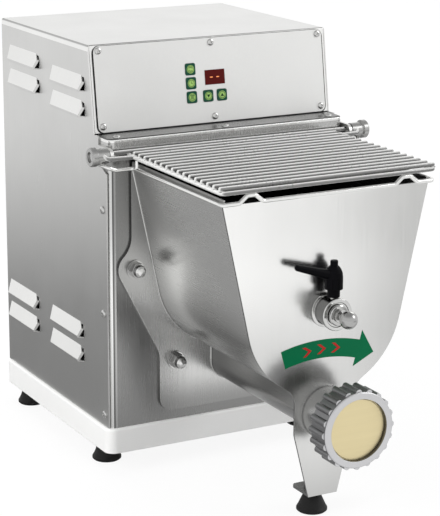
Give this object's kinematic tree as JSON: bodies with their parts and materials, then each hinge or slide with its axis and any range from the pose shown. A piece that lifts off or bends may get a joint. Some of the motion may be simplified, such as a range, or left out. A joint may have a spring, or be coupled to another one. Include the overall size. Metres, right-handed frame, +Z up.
{
  "type": "electric pasta maker",
  "caption": "Countertop machine that mixes dough in an open tank under a hinged wire guard and presses it through a round die held by a ribbed ring nut.",
  "frame": {"origin": "on the floor under the middle of the machine", "axes": "+X to the machine's right as seen from the front, +Y towards the back of the housing, +Z up"},
  "size_m": [0.3012, 0.5062, 0.416],
  "materials": {
    "white_paint": "smooth satin white enamel",
    "black_rubber": "matt black rubber",
    "zinc_steel": "plain bright steel",
    "brushed_steel": "satin stainless sheet",
    "control_plate_steel": "fine bead blasted pale steel",
    "screw_steel": "bright round heads",
    "black_plastic": "moulded black nylon",
    "display_red": "dark red display window",
    "board_green": "circuit board",
    "tank_steel": "satin stainless",
    "front_plate_steel": "satin stainless plate",
    "chrome_parts": "polished",
    "cast_aluminium": "as cast",
    "bronze": "sintered bronze",
    "motor_steel": "machined steel",
    "grey_plastic": "moulded grey plastic",
    "key_green": "dark green key with a light green ring",
    "guard_wire": "polished stainless wire",
    "guard_boss": "turned stainless",
    "die_brass": "fine turned brass",
    "nut_aluminium": "matt cast aluminium"
  },
  "bodies": {
    "machine": {"plinth": "white_paint", "rubber_feet": "black_rubber", "foot_studs": "zinc_steel", "hood": "brushed_steel", "back_panel": "brushed_steel", "front_panel": "brushed_steel", "control_plate": "control_plate_steel", "side_screws": "screw_steel", "plate_screws": "screw_steel", "ledge_screws": "screw_steel", "back_screws": "screw_steel", "cable_gland": "black_plastic", "display_window": "display_red", "control_board": "board_green", "board_standoffs": "zinc_steel", "tank_shell": "tank_steel", "tank_back_plate": "tank_steel", "tank_front_plate": "front_plate_steel", "extruder_barrel": "tank_steel", "tank_studs": "zinc_steel", "cap_nuts": "chrome_parts", "front_foot_stud": "chrome_parts", "front_foot_nut": "chrome_parts", "hinge_brackets": "brushed_steel", "hinge_pins": "chrome_parts", "bracket_screws": "screw_steel", "mixer_seal": "black_rubber", "shaft_collar": "chrome_parts", "gearbox_case": "cast_aluminium", "gearbox_cover": "cast_aluminium", "gearbox_bushes": "bronze", "motor_housing": "cast_aluminium", "motor_stator": "motor_steel", "motor_bearings": "zinc_steel", "fan_cowl": "black_plastic", "inner_electrics": "grey_plastic", "front_foot": "black_rubber"},
    "key_mix": {"key_mix": "key_green"},
    "key_timer": {"key_timer": "key_green"},
    "key_extrude": {"key_extrude": "key_green"},
    "key_down": {"key_down": "key_green"},
    "key_up": {"key_up": "key_green"},
    "guard": {"guard_grid": "guard_wire", "guard_rim_frame": "guard_wire", "guard_bosses": "guard_boss"},
    "mixer": {"mixer_shaft": "tank_steel", "mixer_blades": "tank_steel", "mixer_output_shaft": "zinc_steel", "mixer_gear": "motor_steel"},
    "clamp_lever": {"clamp_lever": "black_plastic", "clamp_stud": "zinc_steel"},
    "lock_pin": {"lock_pin": "chrome_parts", "ball_knob": "chrome_parts"},
    "auger": {"auger_screw": "tank_steel", "auger_gear": "motor_steel"},
    "die": {"pasta_die": "die_brass"},
    "ring_nut": {"ring_nut": "nut_aluminium"},
    "layshaft": {"layshaft": "motor_steel"},
    "rotor": {"motor_rotor": "motor_steel", "cooling_fan": "black_plastic"}
  },
  "joints": [
    {"name": "guard_hinge", "type": "hinge", "parent": "machine", "child": "guard", "pos_m": [0, -0.0191, 0.3195], "axis": [-1, 0, 0], "range_deg": [0, 95]},
    {"name": "mixer_spin", "type": "hinge", "parent": "machine", "child": "mixer", "pos_m": [0, -0.0131, 0.199], "axis": [0, -1, 0], "continuous": true},
    {"name": "auger_spin", "type": "hinge", "parent": "machine", "child": "auger", "pos_m": [0, -0.0131, 0.103], "axis": [0, -1, 0], "continuous": true},
    {"name": "layshaft_spin", "type": "hinge", "parent": "machine", "child": "layshaft", "pos_m": [0, -0.0131, 0.275], "axis": [0, -1, 0], "continuous": true},
    {"name": "rotor_spin", "type": "hinge", "parent": "machine", "child": "rotor", "pos_m": [-0.04547, -0.0131, 0.30125], "axis": [0, -1, 0], "continuous": true},
    {"name": "clamp_lever_turn", "type": "hinge", "parent": "machine", "child": "clamp_lever", "pos_m": [0, -0.2061, 0.214], "axis": [0, 0, 1], "range_deg": [0, 180]},
    {"name": "lock_pin_pull", "type": "slide", "parent": "machine", "child": "lock_pin", "axis": [0, -1, 0], "range_m": [0, 0.04]},
    {"name": "die_slide", "type": "slide", "parent": "machine", "child": "die", "axis": [0, -1, 0], "range_m": [0, 0.012]},
    {"name": "ring_nut_turn", "type": "hinge", "parent": "die", "child": "ring_nut", "pos_m": [0, -0.2411, 0.103], "axis": [0, -1, 0], "range_deg": [0, 1080]},
    {"name": "key_mix_press", "type": "slide", "parent": "machine", "child": "key_mix", "axis": [0, 0.9892, -0.1466], "range_m": [0, 0.0008], "stiffness_N_per_m": 400, "springref_m": -0.0005},
    {"name": "key_timer_press", "type": "slide", "parent": "machine", "child": "key_timer", "axis": [0, 0.9892, -0.1466], "range_m": [0, 0.0008], "stiffness_N_per_m": 400, "springref_m": -0.0005},
    {"name": "key_extrude_press", "type": "slide", "parent": "machine", "child": "key_extrude", "axis": [0, 0.9892, -0.1466], "range_m": [0, 0.0008], "stiffness_N_per_m": 400, "springref_m": -0.0005},
    {"name": "key_down_press", "type": "slide", "parent": "machine", "child": "key_down", "axis": [0, 0.9892, -0.1466], "range_m": [0, 0.0008], "stiffness_N_per_m": 400, "springref_m": -0.0005},
    {"name": "key_up_press", "type": "slide", "parent": "machine", "child": "key_up", "axis": [0, 0.9892, -0.1466], "range_m": [0, 0.0008], "stiffness_N_per_m": 400, "springref_m": -0.0005}
  ],
  "couplings": [
    {"joint": "auger_spin", "follows": "mixer_spin", "ratio": -1.6667},
    {"joint": "layshaft_spin", "follows": "mixer_spin", "ratio": -3.75},
    {"joint": "rotor_spin", "follows": "mixer_spin", "ratio": 15},
    {"joint": "die_slide", "follows": "ring_nut_turn", "m_per_rad": 0.00063662}
  ]
}
